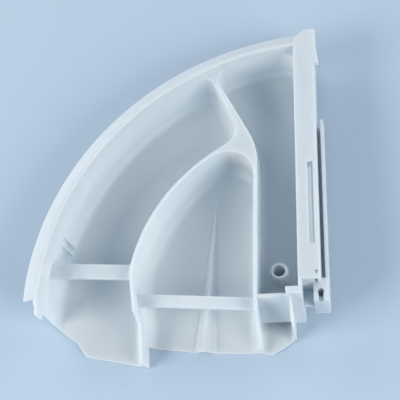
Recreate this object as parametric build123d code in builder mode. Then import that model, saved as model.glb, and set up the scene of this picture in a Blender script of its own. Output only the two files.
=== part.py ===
from build123d import *
import os
from math import acos, atan2, cos, degrees, hypot, radians, sin, sqrt, tan

os.makedirs("parts", exist_ok=True)

# A quarter-round dispenser tray, moulded in one piece of white plastic.
# It swings about a vertical socket at its front right corner, which is the origin:
# X runs along the open front, Y towards the back, and z = 0 is the mouth of the socket.

# Levels, in millimetres; every drop is measured down from the rim
rim_top = 8.0
divider_drop = 7.0
bridge_drop = 16.0
floor_drop = 41.0
floor_fall = 2.6
softener_drop = 32.0
tube_drop = 16.6
overcut = 5.0

# Walls
wall = 2.0
divider_wall = 2.2
chamber_corner = 7.4
chamber_fillet = 7.0
middle_fillet = 8.0
spout_corner = 3.7
spout_fillet = 3.2
softener_corner = 10.0
softener_fillet = 4.0
underside_fillet = chamber_fillet + wall
corner_angle = 12.0
touching = 0.01

# Curved outer wall and its rim flange, about the pivot
rim_radius = 190.0
rim_overhang = 10.0
rim_land = 2.6
rim_slope_drop = 2.4
rim_edge = 2.6
rim_thickness = 2.0
rim_edge_wall = 1.8
rim_bevel = 0.7
rim_start = 93.2
rim_end = 180.0
inner_end = 183.0
tab_top_drop = 3.0
tab_bottom_drop = 14.0
tab_sweep = 3.0

# Divider between the main and the middle chamber: an arc about the pivot, a line and a bend
arc_wall_radius = 122.5
arc_wall_end = 167.0
bend_gap = 8.15
bend_rise = 2.0
bend_radius = 14.5
junction_angle = 113.5
front_inset = 5.3
arc_wall_front_y = -9.5
front_turn_run = 9.0
front_turn_radius = 35.0

# Divider between the middle and the softener chamber
divider_x = -40.5
divider_corner_setback = 9.1
divider_bend_radius = 45.0
divider_offset = 0.8
tip_radius = 18.0

# Open front: lips of the three spouts at the floor, and the wall beside the right spout;
# the main edge runs from the curved wall, the main lip from the front end of the dividing arc
front_reach = -60.0
main_edge_start = -4.0
main_edge = [(10.0, -10.5), (19.0, -17.0), (24.8, -25.6)]
main_lip = [(-1.1, -33.8), (3.0, -34.2), (2.6, -21.4)]
middle_lip = [(-77.0, -26.1), (-40.2, -27.6)]
right_lip = [(-33.0, -28.4), (-18.2, -19.0)]
spout_wall_x = -19.3
spout_step_y = 6.0
drain_back = 44.0

# Leaning front of the softener chamber: its weir, and the higher part to the right of it
front_wall_y = -2.8
front_lean = 14.7
weir_right = -21.2
shoulder_drop = 1.0
shoulder_y = -3.2
shoulder_lean = 12.5
shoulder_back = 3.6
spout_top_drop = 16.6
vessel_back = 9.0

# Front ends of the walls, as pairs of y and drop below the rim: all above them is open
wall_end_reach = 4.0
front_clear = -36.0
arc_wall_slope = [(-8.0, divider_drop), (-11.5, 22.0), (front_clear, 33.0)]
divider_slope = [(-8.0, divider_drop), (-26.0, 39.6), (front_clear, 39.6)]
weir_slope = [(2.0, divider_drop), (front_clear, divider_drop)]
shoulder_slope = [(shoulder_back, 0.0), (-1.0, shoulder_drop), (front_clear, shoulder_drop)]
spout_lip = (-19.0, 40.0)

# Bridges across the main and the middle chamber: angles about the pivot, or the Y of each end
main_bridge_outer_angle = 171.7
main_bridge_inner_angle = 169.6
main_bridge_width = 10.0
middle_bridge_left_y = 2.6
middle_bridge_right_y = -3.6
middle_bridge_width = 8.0
bridge_thickness = 2.5

# Flow ridge on the middle floor: it rises from its tip to the lip, with a rounded crest
ridge_tip = (-71.0, 82.0)
ridge_lip = (-77.4, -32.0)
ridge_height = 5.6
ridge_half_width = 8.6
ridge_crest = 3.4
ridge_crest_width = 4.2
ridge_crest_height = 4.7
ridge_point = 0.3
ridge_sink = 0.3
ridge_skin = 2.0
ridge_tip_scale = 0.04
ridge_hollow_start = 0.3

# Siphon tube in the softener chamber, opening into the drain below
tube_centre = (-26.3, 18.4)
tube_diameter = 10.9
tube_bore = 7.8

# Rail along the straight side, with its skirt and the clip channel outside it
rail_inner = -13.2
rail_outer = 0.6
rail_front = 5.5
rail_setback = 4.0
rail_plate = 2.2
rail_skirt = 22.0
channel_gap = 2.4
channel_back = 124.0
channel_front = -6.0
channel_drop = 10.0

# Slot in the rail and its spring tongue
slot_x = -3.9
slot_width = 3.6
slot_front = 29.0
slot_back = 87.0
tongue_width = 2.3
tongue_back = 83.0
tongue_drop = 0.8

# Small pit in the front end of the rail
pit_centre = (-1.8, 9.8)
pit_width = 1.8
pit_length = 2.4
pit_depth = 1.2

# Corner block and wedge hook at the back end of the rail
corner_drop = 12.0
corner_overhang = 2.0
corner_outer = 1.8
corner_run = 10.0
corner_step = 2.0
corner_flat = 7.5
corner_knee = (3.4, 4.0)
corner_width = 7.8
hook_length = 26.0
hook_reach = 3.8
hook_height = 3.8

# Pivot block with its socket, and the pocket beside it
pivot_half_width = 4.5
pivot_back = 8.6
pivot_front = -6.0
pivot_height = 23.0
socket_diameter = 4.1
socket_mouth = 3.2
mouth_depth = 4.5
pocket_front = -5.0
pocket_floor_drop = 20.0

# Pair of small gussets at the foot of the curved wall
gusset_angles = [163.1, 164.8]
gusset_top_drop = 18.5
gusset_bottom_drop = 36.0
gusset_reach = 3.2
gusset_thickness = 1.6


def on_circle(radius, angle):
    """Point at an angle, in degrees, on a circle about the pivot."""
    return (radius * cos(radians(angle)), radius * sin(radians(angle)))


def radial_plane(angle):
    """Upright plane through the pivot axis, its X pointing outwards at an angle."""
    outward = radians(angle)
    return Plane(
        origin=(0, 0, 0), x_dir=(cos(outward), sin(outward), 0), z_dir=(sin(outward), -cos(outward), 0)
    )


def arc_wall_tangent():
    """Point where the line from the bend corner touches the dividing arc, and its angle."""
    reach = hypot(*bend_corner)
    angle = degrees(atan2(bend_corner[1], bend_corner[0]) + acos(arc_wall_radius / reach))
    return on_circle(arc_wall_radius, angle), angle


def sharp_corners(plan, behind):
    """Corners of a plan where two edges meet at an angle, behind a given Y."""
    corners = ShapeList()
    for corner in plan.vertices():
        headings = []
        for edge in plan.edges():
            for end in (0, 1):
                if (edge @ end - corner.center()).length < touching:
                    headings.append(edge % end)
        turn = headings[0].get_angle(headings[1])
        if min(turn, 180 - turn) > corner_angle and corner.Y > behind:
            corners.append(corner)
    return corners


# The walls stand square to the sloping floor, so their plans lie on a plane parallel to it
tilt = radians(floor_fall)
upright = Vector(0, -sin(tilt), cos(tilt))
rim_plane = Plane.XY.offset(rim_top)
leaning_plane = Plane(origin=(0, 0, rim_top), x_dir=(1, 0, 0), z_dir=upright)
leaning_axis = Axis((0, 0, rim_top), upright)
plan_plane = leaning_plane.offset(overcut)
floor_depth = floor_drop * cos(tilt)
floor_shift = floor_drop * sin(tilt)

wall_radius = rim_radius - rim_overhang
wall_outer = wall_radius + wall
bend_x = divider_x - bend_gap
bend_corner = (bend_x, sqrt((arc_wall_radius + bend_rise)**2 - bend_x**2))
divider_corner_y = bend_corner[1] - divider_corner_setback
arc_wall_front = (front_inset - arc_wall_radius, arc_wall_front_y)
junction = on_circle(wall_radius + wall / 4, junction_angle)
tangent_point, tangent_angle = arc_wall_tangent()
divider_start = (junction[0] + divider_offset, junction[1])
divider_right = divider_x + divider_wall / 2
spout_wall_inner = spout_wall_x - wall / 2
spout_wall_outer = spout_wall_x + wall / 2
rail_wall_outer = rail_inner + wall
rail_back = rim_radius - rail_setback
corner_back = rim_radius + corner_overhang
softener_floor = rim_top - softener_drop
vessel_bottom = softener_floor - wall
weir_top = rim_top - divider_drop
shoulder_top = rim_top - shoulder_drop
lean = tan(radians(front_lean))


def front_wall_at(z):
    """Y of the leaning front of the softener chamber at a height."""
    return front_wall_y + lean * (z - weir_top)


def shoulder_at(z):
    """Y of the front of the shoulder at a height."""
    return shoulder_y + tan(radians(shoulder_lean)) * (z - shoulder_top)


front_wall_thickness = wall / cos(radians(front_lean))
front_foot = front_wall_at(softener_floor) + front_wall_thickness

# Plan of the inside of the tray, open towards the front
inner_top = (rail_inner, sqrt(wall_radius**2 - rail_inner**2))
inner_start = degrees(atan2(inner_top[1], inner_top[0]))


def inside_plan(softener_front):
    """Plan of the inside, its softener part ending at a given Y."""
    with BuildSketch() as plan:
        with BuildLine():
            CenterArc((0, 0), wall_radius, inner_start, inner_end - inner_start)
            Polyline(
                on_circle(wall_radius, inner_end),
                (-wall_radius, front_reach),
                (divider_right, front_reach),
                (divider_right, softener_front),
                (rail_inner, softener_front),
                inner_top,
            )
        make_face()
    return plan.sketch


# Plan of the dividing walls
arc_end = on_circle(arc_wall_radius, arc_wall_end)
arc_turn = (
    arc_end[0] - front_turn_run * sin(radians(arc_wall_end)),
    arc_end[1] + front_turn_run * cos(radians(arc_wall_end)),
)
arc_wall_reach = (arc_wall_front[0], front_reach)
divider_points = [divider_start, (divider_x, divider_corner_y), (divider_x, front_reach)]
with BuildSketch() as divider_plan:
    with BuildLine():
        FilletPolyline(junction, bend_corner, tangent_point, radius=bend_radius)
        CenterArc((0, 0), arc_wall_radius, tangent_angle, arc_wall_end - tangent_angle)
        FilletPolyline(arc_end, arc_turn, arc_wall_front, arc_wall_reach, radius=front_turn_radius)
    trace(line_width=wall)
    with BuildLine():
        FilletPolyline(*divider_points, radius=divider_bend_radius)
    trace(line_width=divider_wall)

with BuildSketch() as chamber_plan:
    add(inside_plan(front_foot))
    add(divider_plan.sketch, mode=Mode.SUBTRACT)
chamber_faces = chamber_plan.faces().sort_by(SortBy.AREA)[-3:]
main_face, whole_middle_face, softener_face = chamber_faces.sort_by(Axis.X)

# Round tip of the middle chamber, touching both of its dividers
arc_wall_inner = arc_wall_radius - wall / 2
tip_reach = arc_wall_inner - tip_radius
tip_x = divider_x - divider_wall / 2 - tip_radius
tip_y = sqrt(tip_reach**2 - tip_x**2)
tip_stretch = (arc_wall_inner + 2 * wall) / tip_reach
with BuildSketch() as middle_plan:
    add(whole_middle_face)
    with BuildLine():
        Polyline(
            (tip_x, tip_y),
            (divider_x, tip_y),
            (divider_x, wall_radius),
            (tip_x * tip_stretch, wall_radius),
            (tip_x * tip_stretch, tip_y * tip_stretch),
            close=True,
        )
    make_face(mode=Mode.SUBTRACT)
    with Locations((tip_x, tip_y)):
        Circle(tip_radius)

# Behind the tip the dividers share one top skin, hollow from below
with BuildPart() as tip_core:
    with BuildSketch(plan_plane) as core_plan:
        add(whole_middle_face)
        add(middle_plan.sketch, mode=Mode.SUBTRACT)
        with Locations((tip_x, tip_y)):
            Circle(tip_radius + wall, mode=Mode.SUBTRACT)
    core_face = core_plan.faces().sort_by(SortBy.AREA)[-1]
    extrude(core_face, amount=-overcut - floor_depth - 2 * wall)
    split(bisect_by=Plane.XY.offset(weir_top - wall), keep=Keep.BOTTOM)


def chamber(face, corner, floor_radius):
    """Inside of a chamber open to the front: its plan let down to the floor, with rounded edges."""
    with BuildPart() as hollow:
        with BuildSketch(plan_plane) as mouth:
            add(face)
            corners = sharp_corners(mouth, front_reach + wall)
            if corners:
                fillet(corners, radius=corner)
        extrude(amount=-overcut - floor_depth)
        floor_edges = hollow.faces().sort_by(Axis.Z)[0].edges()
        rounded = floor_edges.filter_by(lambda edge: edge.center().Y > front_reach + wall)
        fillet(rounded, radius=floor_radius)
    return hollow.part


# Inside of the softener chamber: a level floor and a leaning front
with BuildPart() as softener:
    with BuildSketch(plan_plane) as softener_mouth:
        add(softener_face)
        fillet(sharp_corners(softener_mouth, front_foot + wall), radius=softener_corner)
    extrude(amount=-overcut - floor_depth)
    split(bisect_by=Plane.XY.offset(softener_floor), keep=Keep.TOP)
    front_plane = Plane(
        origin=(0, front_wall_at(rim_top) + front_wall_thickness, rim_top),
        x_dir=(1, 0, 0),
        z_dir=(0, 1, -lean),
    )
    split(bisect_by=front_plane, keep=Keep.TOP)
    fillet(softener.faces().sort_by(Axis.Z)[0].edges(), radius=softener_fillet)

# Right spout, and the drain that runs back from it under the softener chamber
with BuildSketch() as spout_plan:
    with Locations((divider_right, front_reach)):
        Rectangle(spout_wall_inner - divider_right, drain_back - front_reach, align=(Align.MIN, Align.MIN))
with BuildPart() as spout:
    add(chamber(spout_plan.face(), spout_corner, spout_fillet))
    with BuildSketch(Plane.YZ.offset(divider_x)):
        with BuildLine():
            Polyline(
                (front_wall_at(rim_top + overcut), rim_top + overcut),
                (front_wall_at(vessel_bottom), vessel_bottom),
                (drain_back + wall, vessel_bottom),
                (drain_back + wall, rim_top + 2 * overcut),
                (front_wall_at(rim_top + overcut), rim_top + 2 * overcut),
                close=True,
            )
        make_face()
    extrude(amount=rail_wall_outer - divider_x, mode=Mode.SUBTRACT)

hollows = [
    chamber(main_face, chamber_corner, chamber_fillet),
    chamber(middle_plan.face(), chamber_corner, middle_fillet),
    softener.part,
    spout.part,
]


def plan_at_floor(points):
    """Points at floor level, moved to where they stand on the leaning plan."""
    return [(x, y - floor_shift) for x, y in points]


# Outer form: the plan of the tray with its lips, let down to the underside
shell_top = (rail_wall_outer, sqrt(wall_outer**2 - rail_wall_outer**2))
shell_start = degrees(atan2(shell_top[1], shell_top[0]))
shell_end = 180 + degrees(atan2(-main_edge_start, wall_outer))
with BuildPart() as shell:
    with BuildSketch(plan_plane):
        with BuildLine():
            CenterArc((0, 0), wall_outer, shell_start, shell_end - shell_start)
            Polyline(
                on_circle(wall_outer, shell_end),
                *plan_at_floor([(x - wall_outer, y) for x, y in main_edge]),
                *plan_at_floor([(x + arc_wall_front[0], y) for x, y in main_lip]),
                *plan_at_floor(middle_lip + right_lip),
                (spout_wall_outer, spout_step_y),
                (rail_wall_outer, spout_step_y),
                shell_top,
            )
        make_face()
    extrude(amount=-overcut - floor_depth - wall)
    underside = shell.faces().sort_by(Axis.Z)[0]
    fillet(underside.edges().sort_by(SortBy.LENGTH)[-1], radius=underside_fillet)
    split(bisect_by=rim_plane, keep=Keep.BOTTOM)

# Front ends of the walls: left and right of each cut, and its profile
spout_top = rim_top - spout_top_drop
spout_slope = [
    (shoulder_at(shoulder_top), shoulder_drop),
    (shoulder_at(spout_top), spout_top_drop),
    spout_lip,
    (front_clear, spout_lip[1]),
]
wall_ends = [
    (arc_wall_front[0] - wall_end_reach, arc_wall_front[0] + wall_end_reach, arc_wall_slope),
    (divider_x - wall_end_reach, divider_right, divider_slope),
    (divider_right, weir_right, weir_slope),
    (weir_right, rail_wall_outer + touching, shoulder_slope),
    (spout_wall_inner - touching, spout_wall_outer + touching, spout_slope),
]

# Ends of the bridges, inside the walls that carry them
middle_bridge_share = (arc_turn[1] - middle_bridge_left_y) / (arc_turn[1] - arc_wall_front[1])
main_bridge = [
    on_circle(wall_radius + wall / 2, main_bridge_outer_angle),
    on_circle(arc_wall_radius, main_bridge_inner_angle),
]
middle_bridge_x = arc_turn[0] + middle_bridge_share * (arc_wall_front[0] - arc_turn[0])
middle_bridge = [
    (middle_bridge_x + wall / 4, middle_bridge_left_y),
    (divider_x, middle_bridge_right_y),
]


def floor_point(point):
    """Point of the floor, given as it is seen from above."""
    return Vector(point[0], point[1], rim_top - floor_drop + point[1] * tan(tilt))


def ridge_form(start_share, half_width, crest_width, height, foot):
    """Roof-shaped ridge that grows from a share of its run to its full section at the lip."""
    run = floor_point(ridge_lip) - floor_point(ridge_tip)
    section = [(-half_width, 0), (-crest_width / 2, height), (crest_width / 2, height), (half_width, 0)]
    with BuildPart() as form:
        for share, scale in ((start_share, ridge_tip_scale), (1, 1)):
            middle = floor_point(ridge_tip) + run * share + upright * foot
            with BuildSketch(Plane(origin=middle, x_dir=(1, 0, 0), z_dir=run)):
                with BuildLine():
                    Polyline(
                        *[(x * scale, y * scale) for x, y in section],
                        (half_width * scale, -wall),
                        (-half_width * scale, -wall),
                        close=True,
                    )
                make_face()
        loft(ruled=True)
    return form.part


# Flow ridge: sloping flanks under a rounded crest, and the roof that hollows it from below
crest_tip = floor_point(ridge_tip)
crest_run = floor_point(ridge_lip) + upright * (ridge_height - ridge_crest) - crest_tip
with BuildPart() as ridge:
    add(ridge_form(0, ridge_half_width, ridge_crest_width, ridge_crest_height, -ridge_sink))
    with Locations(Plane(origin=crest_tip, z_dir=crest_run)):
        Cone(ridge_point, ridge_crest, crest_run.length, align=(Align.CENTER, Align.CENTER, Align.MIN))
    add(shell.part, mode=Mode.INTERSECT)
ridge_hollow = ridge_form(
    ridge_hollow_start,
    ridge_half_width - ridge_skin,
    ridge_crest_width,
    ridge_height - ridge_sink,
    -ridge_skin - ridge_sink,
)


# Gussets, kept within the outer form
with BuildPart() as gussets:
    for angle in gusset_angles:
        with BuildSketch(radial_plane(angle)):
            with BuildLine():
                Polyline(
                    (wall_radius + wall / 2, rim_top - gusset_top_drop),
                    (wall_radius, rim_top - gusset_top_drop),
                    (wall_radius - gusset_reach, rim_top - gusset_bottom_drop),
                    (wall_radius - gusset_reach, rim_top - floor_drop),
                    (wall_radius + wall / 2, rim_top - floor_drop),
                    close=True,
                )
            make_face()
        extrude(amount=gusset_thickness / 2, both=True)
    add(shell.part, mode=Mode.INTERSECT)

# Tops of the dividers, taken down below the rim
with BuildPart() as divider_clearance:
    with BuildSketch(plan_plane):
        add(inside_plan(shoulder_back))
    extrude(amount=-overcut - floor_depth)
    split(bisect_by=Plane.XY.offset(weir_top), keep=Keep.TOP)

with BuildPart() as tray:
    add(shell.part)

    # Rim flange
    with BuildSketch(radial_plane(rim_start)) as rim_section:
        with BuildLine():
            Polyline(
                (wall_radius - wall, rim_top),
                (wall_radius + rim_land, rim_top),
                (rim_radius, rim_top - rim_slope_drop),
                (rim_radius, rim_top - rim_slope_drop - rim_edge),
                (rim_radius - rim_edge_wall, rim_top - rim_slope_drop - rim_edge),
                (rim_radius - rim_edge_wall, rim_top - rim_slope_drop - rim_thickness),
                (wall_radius + rim_land, rim_top - rim_thickness),
                (wall_radius - wall, rim_top - rim_thickness),
                close=True,
            )
        make_face()
        chamfer(rim_section.vertices().group_by(Axis.X)[-1].sort_by(Axis.Y)[-1], length=rim_bevel)
    revolve(axis=Axis.Z, revolution_arc=rim_end - rim_start)

    # Front tab of the curved wall, below the end of the flange
    with BuildSketch(Plane(origin=(0, 0, rim_top), x_dir=(-1, 0, 0), z_dir=leaning_plane.y_dir)):
        with Locations((wall_radius + wall / 2, -(tab_top_drop + tab_bottom_drop) / 2)):
            Rectangle(wall, tab_bottom_drop - tab_top_drop)
    revolve(axis=leaning_axis, revolution_arc=tab_sweep)

    # Front end of the softener chamber, its face leaning forwards
    with BuildSketch(Plane.YZ.offset(divider_x)):
        with BuildLine():
            Polyline(
                (front_wall_at(rim_top), rim_top),
                (front_wall_at(vessel_bottom), vessel_bottom),
                (vessel_back, vessel_bottom),
                (vessel_back, rim_top),
                close=True,
            )
        make_face()
    extrude(amount=rail_wall_outer - divider_x)
    with BuildSketch(Plane.YZ.offset(weir_right)):
        with BuildLine():
            Polyline(
                (shoulder_at(rim_top), rim_top),
                (shoulder_at(vessel_bottom), vessel_bottom),
                (vessel_back, vessel_bottom),
                (vessel_back, rim_top),
                close=True,
            )
        make_face()
    extrude(amount=rail_wall_outer - weir_right)

    # Chambers
    for hollow in hollows:
        add(hollow, mode=Mode.SUBTRACT)
    add(divider_clearance.part, mode=Mode.SUBTRACT)
    add(tip_core.part, mode=Mode.SUBTRACT)
    for left, right, profile in wall_ends:
        with BuildSketch(Plane.YZ.offset(left)):
            with BuildLine():
                Polyline(
                    (profile[0][0], rim_top + overcut),
                    *[(y, rim_top - drop) for y, drop in profile],
                    (profile[-1][0], rim_top + overcut),
                    close=True,
                )
            make_face()
        extrude(amount=right - left, mode=Mode.SUBTRACT)

    # Flow ridge on the middle floor
    add(ridge.part)
    add(ridge_hollow, mode=Mode.SUBTRACT)

    # Gussets on the curved wall
    add(gussets.part)

    # Bridges
    with BuildSketch(Plane.XY.offset(rim_top - bridge_drop)):
        with BuildLine():
            Polyline(*main_bridge)
        trace(line_width=main_bridge_width)
        with BuildLine():
            Polyline(*middle_bridge)
        trace(line_width=middle_bridge_width)
    extrude(amount=-bridge_thickness)

    # Siphon tube, through the softener floor into the drain
    with BuildSketch(Plane.XY.offset(rim_top - tube_drop)):
        with Locations(tube_centre):
            Circle(tube_diameter / 2)
    extrude(amount=tube_drop - softener_drop - wall / 2)
    with BuildSketch(Plane.XY.offset(rim_top - tube_drop)):
        with Locations(tube_centre):
            Circle(tube_bore / 2)
    extrude(amount=tube_drop - softener_drop - 1.5 * wall, mode=Mode.SUBTRACT)

    # Rail: a plate with a skirt along its outer edge
    with BuildSketch(Plane.XZ.offset(-rail_back)):
        with BuildLine():
            Polyline(
                (rail_inner, rim_top),
                (rail_outer, rim_top),
                (rail_outer, rim_top - rail_skirt),
                (rail_outer - wall, rim_top - rail_skirt),
                (rail_outer - wall, rim_top - rail_plate),
                (rail_inner, rim_top - rail_plate),
                close=True,
            )
        make_face()
    extrude(amount=rail_back - rail_front)

    # Clip channel outside the skirt
    channel_outer = rail_outer + channel_gap + wall
    with BuildSketch(Plane.XZ.offset(-channel_back)):
        with BuildLine():
            Polyline(
                (rail_outer - wall, rim_top - rail_skirt),
                (channel_outer, rim_top - rail_skirt),
                (channel_outer, rim_top - channel_drop),
                (channel_outer - wall, rim_top - channel_drop),
                (channel_outer - wall, rim_top - rail_skirt + wall),
                (rail_outer - wall, rim_top - rail_skirt + wall),
                close=True,
            )
        make_face()
    extrude(amount=channel_back - channel_front)

    # Corner block and wedge hook
    with BuildSketch(rim_plane):
        with BuildLine():
            Polyline(
                (rail_inner, rail_back - corner_run),
                (rail_inner, corner_back - corner_flat),
                (rail_inner + corner_knee[0], corner_back - corner_knee[1]),
                (rail_inner + corner_width, corner_back),
                (corner_outer, corner_back),
                (corner_outer, rail_back),
                (rail_outer, rail_back - corner_step),
                (rail_outer, rail_back - corner_run),
                close=True,
            )
        make_face()
    extrude(amount=-corner_drop)
    with BuildSketch(rim_plane):
        with BuildLine():
            Polyline(
                (rail_outer - wall, rim_radius),
                (rail_outer, rim_radius),
                (hook_reach, rim_radius - hook_length),
                (rail_outer - wall, rim_radius - hook_length),
                close=True,
            )
        make_face()
    extrude(amount=-hook_height)

    # Slot in the rail with its spring tongue
    with BuildSketch(rim_plane):
        with Locations((slot_x, (slot_front + slot_back) / 2)):
            Rectangle(slot_width, slot_back - slot_front)
    extrude(amount=-rail_plate, mode=Mode.SUBTRACT)
    with BuildSketch(Plane.XY.offset(rim_top - tongue_drop)):
        with Locations((slot_x - slot_width / 2, slot_front - wall / 2)):
            Rectangle(tongue_width, tongue_back - slot_front + wall / 2, align=(Align.MIN, Align.MIN))
    extrude(amount=tongue_drop - rail_plate)

    # Pit in the front end of the rail
    with BuildSketch(rim_plane):
        with Locations(pit_centre):
            Rectangle(pit_width, pit_length)
    extrude(amount=-pit_depth, mode=Mode.SUBTRACT)

    # Pocket beside the pivot: floor and back wall
    pocket_right = wall / 2 - pivot_half_width
    pocket_walls = [
        (pocket_floor_drop, pocket_floor_drop + wall, pocket_front, rail_front + wall),
        (rail_plate, pocket_floor_drop, rail_front, rail_front + wall),
    ]
    for top, bottom, front, back in pocket_walls:
        with BuildSketch(Plane.XY.offset(rim_top - top)):
            with Locations((rail_wall_outer - wall / 2, front)):
                Rectangle(
                    pocket_right - rail_wall_outer + wall / 2, back - front, align=(Align.MIN, Align.MIN)
                )
        extrude(amount=top - bottom)

    # Pivot block and its socket, with a mouth cut in towards the front
    with BuildSketch(Plane.XY):
        with Locations((0, (pivot_back + pivot_front) / 2)):
            Rectangle(2 * pivot_half_width, pivot_back - pivot_front)
    extrude(amount=-pivot_height)
    with BuildSketch(Plane.XY):
        Circle(socket_diameter / 2)
    extrude(amount=-pivot_height, mode=Mode.SUBTRACT)
    with BuildSketch(Plane.XY):
        with Locations((0, pivot_front / 2)):
            Rectangle(socket_mouth, -pivot_front)
    extrude(amount=-mouth_depth, mode=Mode.SUBTRACT)

tray.part.label = "dispenser_tray"
export_step(tray.part, "parts/dispenser_tray.step")
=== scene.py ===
from math import cos, radians, sin

import bpy
import numpy as np
from mathutils import Matrix, Vector

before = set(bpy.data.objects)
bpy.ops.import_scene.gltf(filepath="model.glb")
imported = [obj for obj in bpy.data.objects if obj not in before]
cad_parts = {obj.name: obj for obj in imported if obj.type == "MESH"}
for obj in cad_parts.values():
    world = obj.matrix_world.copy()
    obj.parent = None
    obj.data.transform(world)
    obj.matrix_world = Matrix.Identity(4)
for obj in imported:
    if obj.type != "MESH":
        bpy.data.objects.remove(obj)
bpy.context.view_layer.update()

# A moulded dispenser tray on a pale floor, in metres.
# The tray's own frame: origin at the pivot socket, X along the open front, Y to the back.

# Tray, and the plane that its sloping underside lies on
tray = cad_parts["dispenser_tray"]
underside_level = -0.0353
underside_fall = radians(2.6)

# White plastic: tone, light that enters it, gloss, mould grain and handling marks
plastic_shade = (0.67, 0.735, 0.78, 1.0)
plastic_light = (0.70, 0.76, 0.80, 1.0)
shade_share = 0.3
light_share = 0.7
plastic_ior = 1.49
translucency = 0.8
light_depth = 0.0035
roughness_low = 0.36
roughness_high = 0.5
rub_dulling = 0.1
grain_scale = 900.0
wave_scale = 38.0
wave_height = 4.0
grain_depth = 0.0001
grain_strength = 0.12
patch_scale = 14.0
rub_scale = (300.0, 40.0, 120.0)
rub_turn = (0.0, 0.3, 0.7)
rub_start = 0.64
rub_full = 0.78

# Camera, from the photograph's viewing angle
camera_place = (0.035, -0.233, 0.574)
camera_right = (0.9835, 0.0245, -0.1792)
camera_up = (0.0606, 0.8890, 0.4540)
camera_back = (0.1704, -0.4574, 0.8728)
camera_lens = 90.0
camera_sensor = 36.0
camera_near = 0.01

# Floor
floor_middle = (-0.09, 0.07)
floor_radius = 1.15
floor_corners = 128
floor_colour = (0.52, 0.64, 0.77, 1.0)
floor_roughness = 0.9
floor_gloss = 0.1

# Light: soft lamps in a low ring round the tray, as bearing in degrees and power, and a cool fill
lamps = {
    "front_left_lamp": (208.0, 17.4),
    "front_right_lamp": (329.0, 14.6),
    "back_left_lamp": (137.0, 7.4),
    "back_right_lamp": (38.0, 6.8),
}
lamp_aim = (-0.09, 0.07, -0.01)
lamp_distance = 1.5
lamp_height = radians(28.0)
lamp_size = 0.9
lamp_colour = (1.0, 0.95, 0.87)
sky_colour = (0.3, 0.6, 1.0, 1.0)
sky_strength = 0.24
backdrop_colour = (0.6, 0.71, 0.82, 1.0)


def new_group(name, inputs, outputs):
    """Shader node group with named sockets, given as name, kind and starting value."""
    group = bpy.data.node_groups.new(name, "ShaderNodeTree")
    for label, kind, value in inputs:
        socket = group.interface.new_socket(label, in_out="INPUT", socket_type=kind)
        if value is not None:
            socket.default_value = value
    for label, kind in outputs:
        group.interface.new_socket(label, in_out="OUTPUT", socket_type=kind)
    start = group.nodes.new("NodeGroupInput")
    end = group.nodes.new("NodeGroupOutput")
    return group, start, end


def moulded_grain_group():
    """Height of a spark-eroded mould face: two sizes of noise, added with their own shares."""
    group, start, end = new_group(
        "moulded_grain",
        [("Vector", "NodeSocketVector", None), ("Grain Scale", "NodeSocketFloat", grain_scale)],
        [("Height", "NodeSocketFloat")],
    )
    fine = group.nodes.new("ShaderNodeTexNoise")
    fine.inputs["Detail"].default_value = 2.0
    wave = group.nodes.new("ShaderNodeTexNoise")
    wave.inputs["Scale"].default_value = wave_scale
    wave.inputs["Detail"].default_value = 1.0
    mix = group.nodes.new("ShaderNodeMath")
    mix.operation = "MULTIPLY_ADD"
    mix.inputs[1].default_value = wave_height
    link = group.links.new
    link(start.outputs["Vector"], fine.inputs["Vector"])
    link(start.outputs["Vector"], wave.inputs["Vector"])
    link(start.outputs["Grain Scale"], fine.inputs["Scale"])
    link(wave.outputs["Fac"], mix.inputs[0])
    link(fine.outputs["Fac"], mix.inputs[2])
    link(mix.outputs["Value"], end.inputs["Height"])
    return group


def handling_group():
    """Mask of light handling: soft patches of dulled surface, and sparse fine rubbing marks."""
    group, start, end = new_group(
        "handling",
        [("Vector", "NodeSocketVector", None)],
        [("Patches", "NodeSocketFloat"), ("Rubs", "NodeSocketFloat")],
    )
    patch = group.nodes.new("ShaderNodeTexNoise")
    patch.inputs["Scale"].default_value = patch_scale
    patch.inputs["Detail"].default_value = 3.0
    stretch = group.nodes.new("ShaderNodeMapping")
    stretch.inputs["Scale"].default_value = rub_scale
    stretch.inputs["Rotation"].default_value = rub_turn
    rub = group.nodes.new("ShaderNodeTexNoise")
    rub.inputs["Scale"].default_value = 1.0
    rub.inputs["Detail"].default_value = 2.0
    keep = group.nodes.new("ShaderNodeMapRange")
    keep.inputs["From Min"].default_value = rub_start
    keep.inputs["From Max"].default_value = rub_full
    link = group.links.new
    link(start.outputs["Vector"], patch.inputs["Vector"])
    link(start.outputs["Vector"], stretch.inputs["Vector"])
    link(stretch.outputs["Vector"], rub.inputs["Vector"])
    link(rub.outputs["Fac"], keep.inputs["Value"])
    link(patch.outputs["Fac"], end.inputs["Patches"])
    link(keep.outputs["Result"], end.inputs["Rubs"])
    return group


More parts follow.
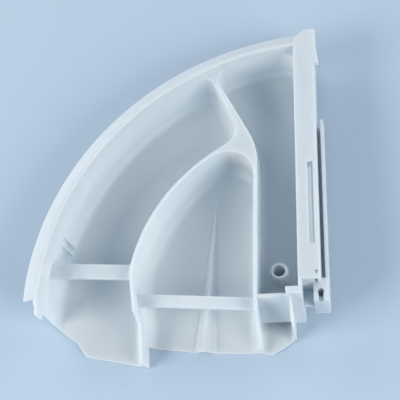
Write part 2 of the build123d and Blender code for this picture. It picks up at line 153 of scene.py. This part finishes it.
def white_plastic():
    """White moulded plastic: cool white, satin, translucent, with a fine grain and faint handling."""
    material = bpy.data.materials.new("white_plastic_moulded")
    material.use_nodes = True
    nodes = material.node_tree.nodes
    link = material.node_tree.links.new
    shader = nodes["Principled BSDF"]
    shader.inputs["IOR"].default_value = plastic_ior
    shader.inputs["Subsurface Weight"].default_value = translucency
    shader.inputs["Subsurface Radius"].default_value = (1.0, 1.0, 1.0)
    shader.inputs["Subsurface Scale"].default_value = light_depth
    place = nodes.new("ShaderNodeTexCoord")
    grain = nodes.new("ShaderNodeGroup")
    grain.node_tree = moulded_grain_group()
    handling = nodes.new("ShaderNodeGroup")
    handling.node_tree = handling_group()
    tone = nodes.new("ShaderNodeValToRGB")
    tone.color_ramp.elements[0].position = shade_share
    tone.color_ramp.elements[0].color = plastic_shade
    tone.color_ramp.elements[1].position = light_share
    tone.color_ramp.elements[1].color = plastic_light
    gloss = nodes.new("ShaderNodeMapRange")
    gloss.inputs["To Min"].default_value = roughness_low
    gloss.inputs["To Max"].default_value = roughness_high
    dull = nodes.new("ShaderNodeMath")
    dull.operation = "MULTIPLY_ADD"
    dull.inputs[1].default_value = rub_dulling
    bump = nodes.new("ShaderNodeBump")
    bump.inputs["Strength"].default_value = grain_strength
    bump.inputs["Distance"].default_value = grain_depth
    link(place.outputs["Object"], grain.inputs["Vector"])
    link(place.outputs["Object"], handling.inputs["Vector"])
    link(handling.outputs["Patches"], tone.inputs["Fac"])
    link(tone.outputs["Color"], shader.inputs["Base Color"])
    link(handling.outputs["Patches"], gloss.inputs["Value"])
    link(handling.outputs["Rubs"], dull.inputs[0])
    link(gloss.outputs["Result"], dull.inputs[2])
    link(dull.outputs["Value"], shader.inputs["Roughness"])
    link(grain.outputs["Height"], bump.inputs["Height"])
    link(bump.outputs["Normal"], shader.inputs["Normal"])
    return material


def floor_material():
    """Plain pale matt floor."""
    material = bpy.data.materials.new("pale_floor")
    material.use_nodes = True
    shader = material.node_tree.nodes["Principled BSDF"]
    shader.inputs["Base Color"].default_value = floor_colour
    shader.inputs["Roughness"].default_value = floor_roughness
    shader.inputs["Specular IOR Level"].default_value = floor_gloss
    return material


def floor_disc():
    """Flat disc under the tray: a circle about its middle, laid on the plane of the sloping underside."""
    angle = np.linspace(0.0, 2.0 * np.pi, floor_corners, endpoint=False)
    x = floor_middle[0] + floor_radius * np.cos(angle)
    y = floor_middle[1] + floor_radius * np.sin(angle) * cos(underside_fall)
    z = underside_level + y * np.tan(underside_fall)
    points = np.stack([x, y, z], axis=-1)
    mesh = bpy.data.meshes.new("floor")
    mesh.from_pydata(points.tolist(), [], [tuple(range(floor_corners))])
    floor = bpy.data.objects.new("floor", mesh)
    floor.data.materials.append(floor_material())
    bpy.context.scene.collection.objects.link(floor)


def photo_camera():
    """Camera at the photograph's place, turned by its own three axes."""
    data = bpy.data.cameras.new("camera")
    data.lens = camera_lens
    data.sensor_width = camera_sensor
    data.clip_start = camera_near
    camera = bpy.data.objects.new("camera", data)
    turn = Matrix((camera_right, camera_up, camera_back)).transposed().to_4x4()
    camera.matrix_world = Matrix.Translation(camera_place) @ turn
    bpy.context.scene.collection.objects.link(camera)
    bpy.context.scene.camera = camera


def soft_lamps():
    """Square area lamps on a circle at one height about the aim, each turned to it."""
    aim = Vector(lamp_aim)
    for name, (bearing, power) in lamps.items():
        turn = radians(bearing)
        reach = Vector((cos(turn) * cos(lamp_height), sin(turn) * cos(lamp_height), sin(lamp_height)))
        data = bpy.data.lights.new(name, "AREA")
        data.size = lamp_size
        data.energy = power
        data.color = lamp_colour
        lamp = bpy.data.objects.new(name, data)
        lamp.location = aim + reach * lamp_distance
        lamp.rotation_euler = (-reach).to_track_quat("-Z", "Y").to_euler()
        bpy.context.scene.collection.objects.link(lamp)


def studio_sky():
    """Even cool light from all round, for the shaded floors; seen or mirrored, it is a pale backdrop."""
    world = bpy.data.worlds.new("studio")
    world.use_nodes = True
    nodes = world.node_tree.nodes
    link = world.node_tree.links.new
    fill = nodes["Background"]
    fill.inputs["Color"].default_value = sky_colour
    fill.inputs["Strength"].default_value = sky_strength
    backdrop = nodes.new("ShaderNodeBackground")
    backdrop.inputs["Color"].default_value = backdrop_colour
    ray = nodes.new("ShaderNodeLightPath")
    glossy = nodes.new("ShaderNodeMath")
    glossy.operation = "MAXIMUM"
    seen = nodes.new("ShaderNodeMath")
    seen.operation = "MAXIMUM"
    choose = nodes.new("ShaderNodeMixShader")
    link(ray.outputs["Is Glossy Ray"], glossy.inputs[0])
    link(ray.outputs["Is Transmission Ray"], glossy.inputs[1])
    link(ray.outputs["Is Camera Ray"], seen.inputs[0])
    link(glossy.outputs["Value"], seen.inputs[1])
    link(seen.outputs["Value"], choose.inputs["Fac"])
    link(fill.outputs["Background"], choose.inputs[1])
    link(backdrop.outputs["Background"], choose.inputs[2])
    link(choose.outputs["Shader"], nodes["World Output"].inputs["Surface"])
    bpy.context.scene.world = world


tray.data.materials.clear()
tray.data.materials.append(white_plastic())
floor_disc()
photo_camera()
soft_lamps()
studio_sky()
bpy.context.scene.view_settings.view_transform = "Standard"
